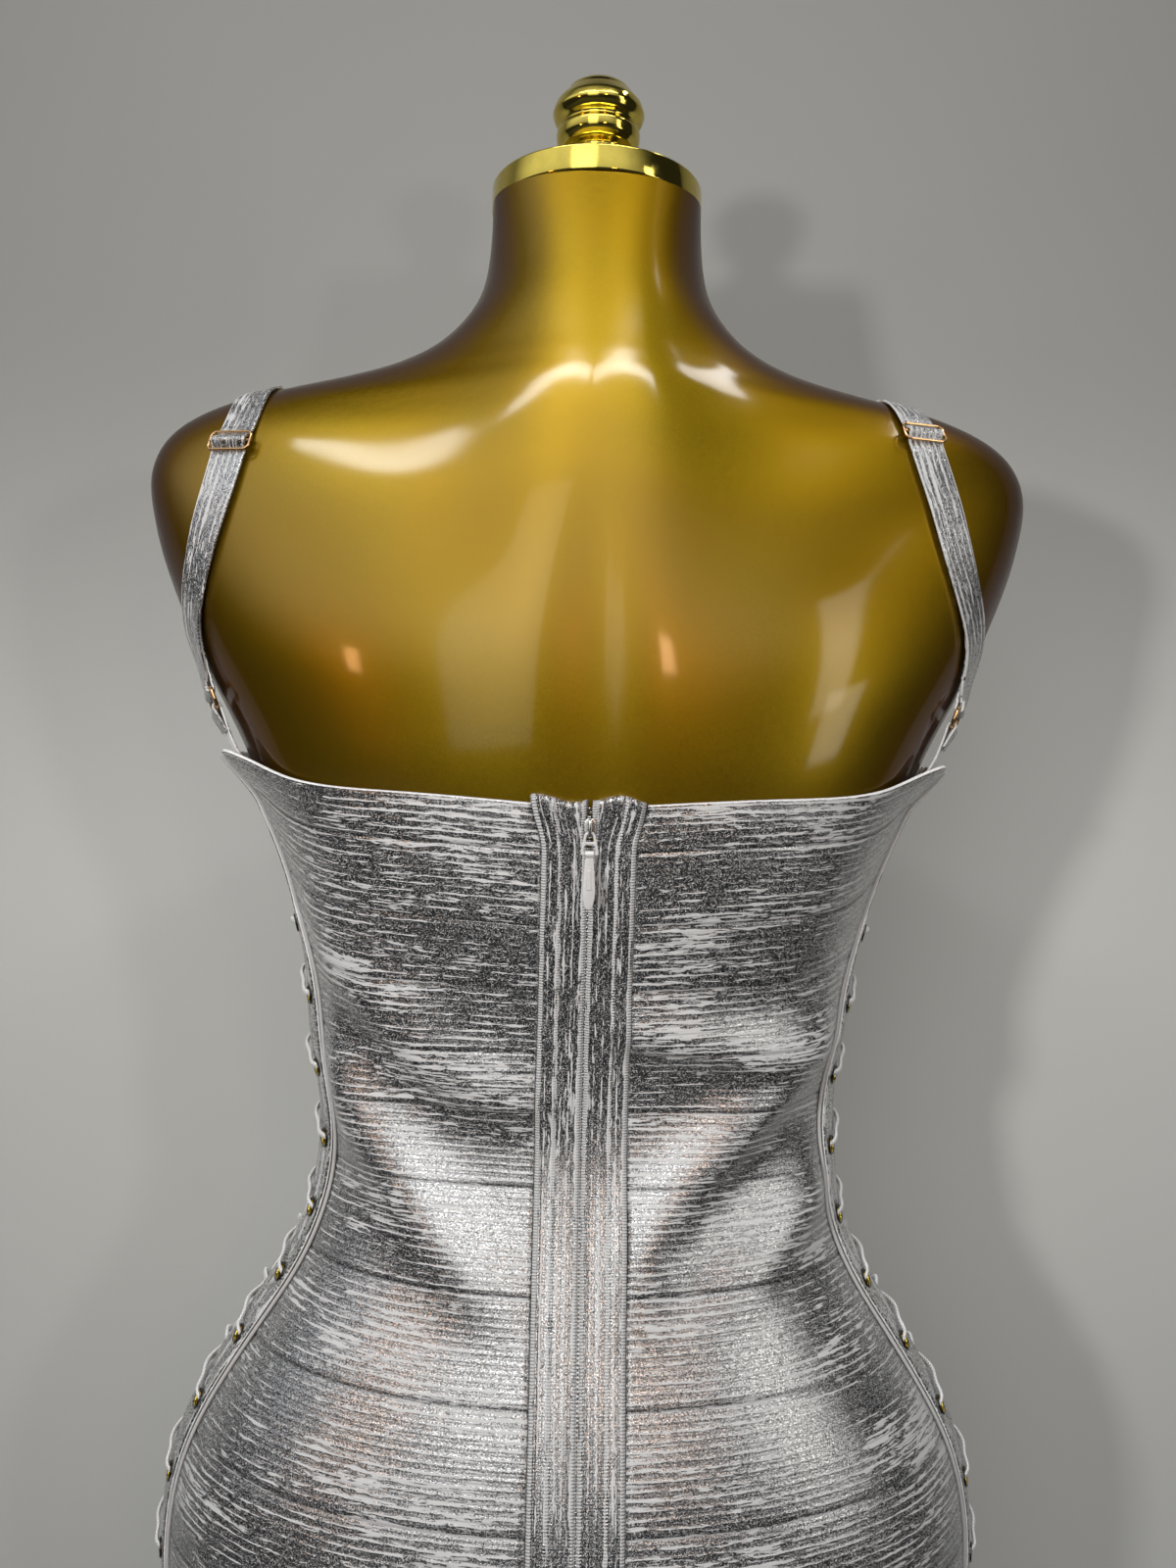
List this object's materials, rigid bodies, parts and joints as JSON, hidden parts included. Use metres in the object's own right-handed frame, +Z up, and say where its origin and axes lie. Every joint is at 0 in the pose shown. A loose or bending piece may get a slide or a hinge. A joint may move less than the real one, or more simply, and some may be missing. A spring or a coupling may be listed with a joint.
{
  "type": "bodycon bandage dress on a limbless dress form with stand",
  "caption": "Sleeveless side-laced bandage dress with a back zip and adjustable straps, worn by a limbless dress form on a pole stand.",
  "frame": {"origin": "on the floor, at the middle of the stand's round base", "axes": "+Z up, +Y out of the dress's back and its zip, -Y out of its front, +X to the wearer's left"},
  "size_m": [0.414, 0.32, 1.5126],
  "materials": {
    "foil_knit": "light grey bandage knit with a silver foil print broken up by the ribs, sparkling",
    "white_knit": "smooth white knit, matt",
    "lace_cord": "white braided cord with a silvery glint",
    "gold_paint": "glass-fibre shell in metallic gold paint under a glossy clear coat",
    "gold_plate": "polished yellow gold plate",
    "rose_gold_wire": "polished rose gold plated wire",
    "zip_nickel": "nickel plated",
    "zip_enamel": "silvery white enamel, satin"
  },
  "bodies": {
    "dress_on_form": {"back_panel_left": "foil_knit", "back_panel_right": "foil_knit", "eyelet_band_back_left": "foil_knit", "eyelet_band_back_right": "foil_knit", "eyelet_band_front_left": "foil_knit", "eyelet_band_front_right": "foil_knit", "front_panel": "foil_knit", "strap_left": "foil_knit", "strap_right": "foil_knit", "strap_tab_left": "foil_knit", "strap_tab_right": "foil_knit", "zip_band_left": "foil_knit", "zip_band_right": "foil_knit", "piping_back_left": "white_knit", "piping_back_right": "white_knit", "piping_front_left": "white_knit", "piping_front_right": "white_knit", "lace_left": "lace_cord", "lace_right": "lace_cord", "form_torso": "gold_paint", "neck_cap": "gold_plate", "neck_finial": "gold_plate", "stand_base": "gold_plate", "stand_collar": "gold_plate", "stand_pole": "gold_plate", "strap_adjuster_left": "rose_gold_wire", "strap_adjuster_right": "rose_gold_wire", "strap_ring_left": "rose_gold_wire", "strap_ring_right": "rose_gold_wire", "zip_chain": "zip_nickel", "zip_slider": "zip_nickel"},
    "pull_ring": {"pull_ring": "zip_nickel"},
    "pull_tab": {"pull_tab": "zip_enamel"}
  },
  "joints": [
    {"name": "pull_ring_swing", "type": "hinge", "parent": "dress_on_form", "child": "pull_ring", "pos_m": [0, 0.10504, 1.1516], "axis": [1, 0, 0], "range_deg": [0, 115]},
    {"name": "pull_tab_swing", "type": "hinge", "parent": "pull_ring", "child": "pull_tab", "pos_m": [0, 0.10504, 1.1433], "axis": [1, 0, 0], "range_deg": [0, 80]}
  ]
}
